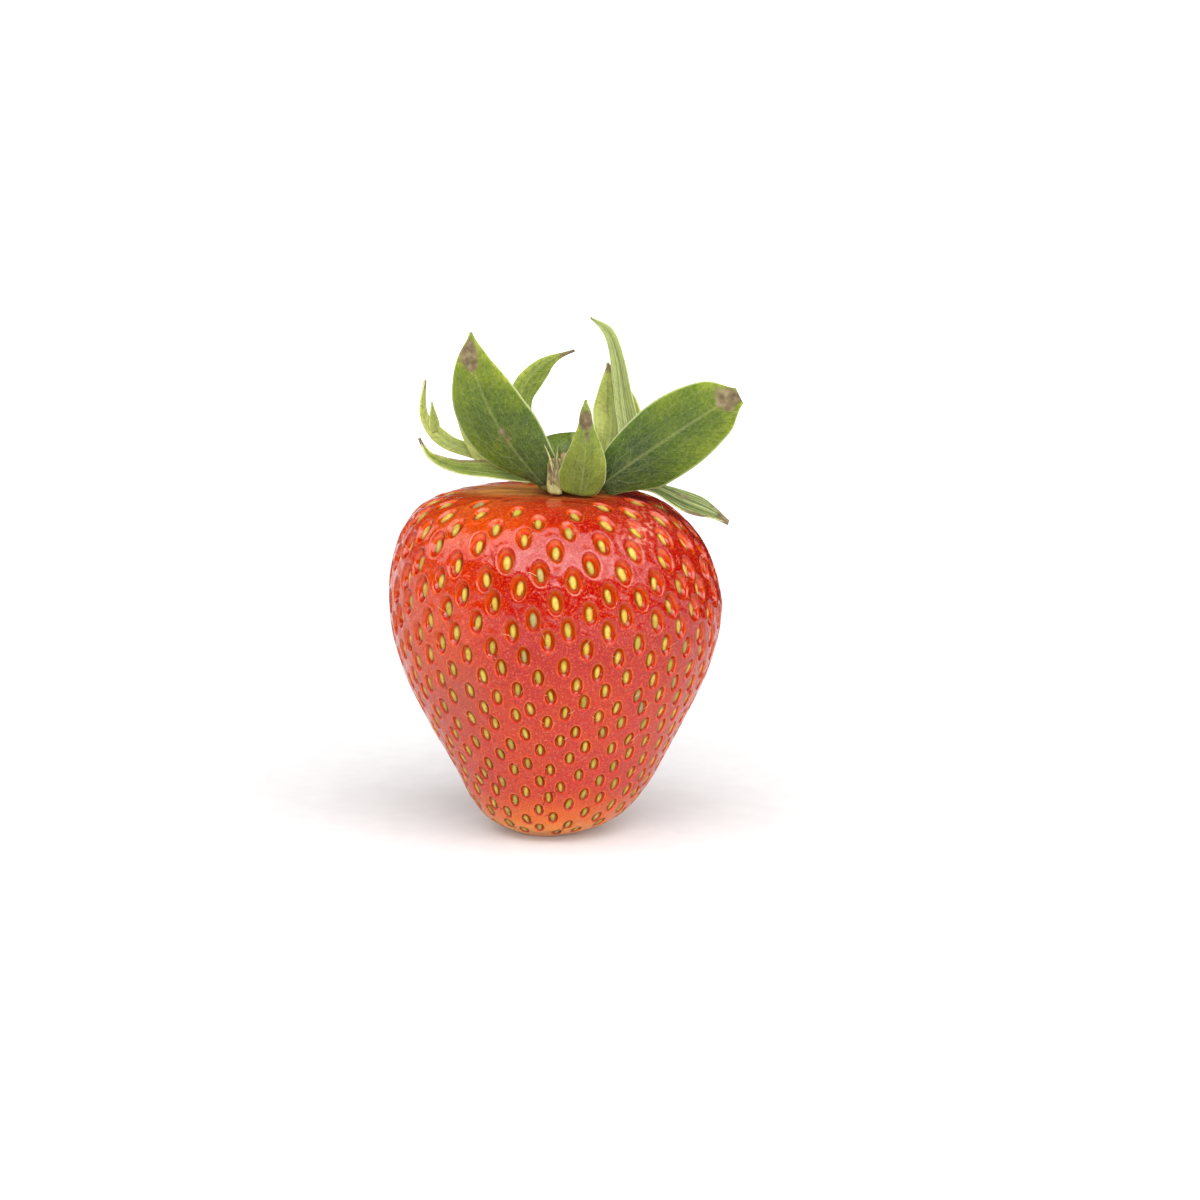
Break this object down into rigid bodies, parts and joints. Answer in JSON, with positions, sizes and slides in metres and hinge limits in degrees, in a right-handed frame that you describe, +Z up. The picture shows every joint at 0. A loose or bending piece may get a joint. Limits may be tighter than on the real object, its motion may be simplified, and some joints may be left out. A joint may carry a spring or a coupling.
{
  "type": "strawberry",
  "caption": "Fresh strawberry resting on its blunt tip, with raised seeds in pits over the fruit and a ring of upright and spreading green sepals on top.",
  "frame": {"origin": "centre of the small flat spot that the fruit rests on", "axes": "+Z up through the fruit to its calyx, +X to the right and -Y towards a viewer in front"},
  "size_m": [0.041, 0.0353, 0.0607],
  "materials": {
    "skin": "glossy red fruit skin, more orange at the left shoulder and the tip, with fine bumps and dimples",
    "seed": "satin yellow to olive seeds with a brown edge",
    "hair": "fine pale withered styles",
    "sepal": "matt leaf green, darker at the base, with paler veins and margins, fine down and brown dried tips",
    "hub": "matt yellow-green where the sepals join",
    "stem": "matt pale green with a dried brown cut end"
  },
  "bodies": {
    "root": {"berry": "skin", "calyx_hub": "hub", "stem_stub": "stem", "sepal_front_left": "sepal", "sepal_front_right": "sepal", "sepal_front_small": "sepal", "bract_front_torn": "sepal", "bract_left_low": "sepal", "sepal_left_forked": "sepal", "sepal_back_left": "sepal", "sepal_back_arch": "sepal", "sepal_back_broad": "sepal", "bract_back_tall": "sepal", "bract_right_low": "sepal", "sepal_back_right": "sepal"}
  },
  "joints": []
}
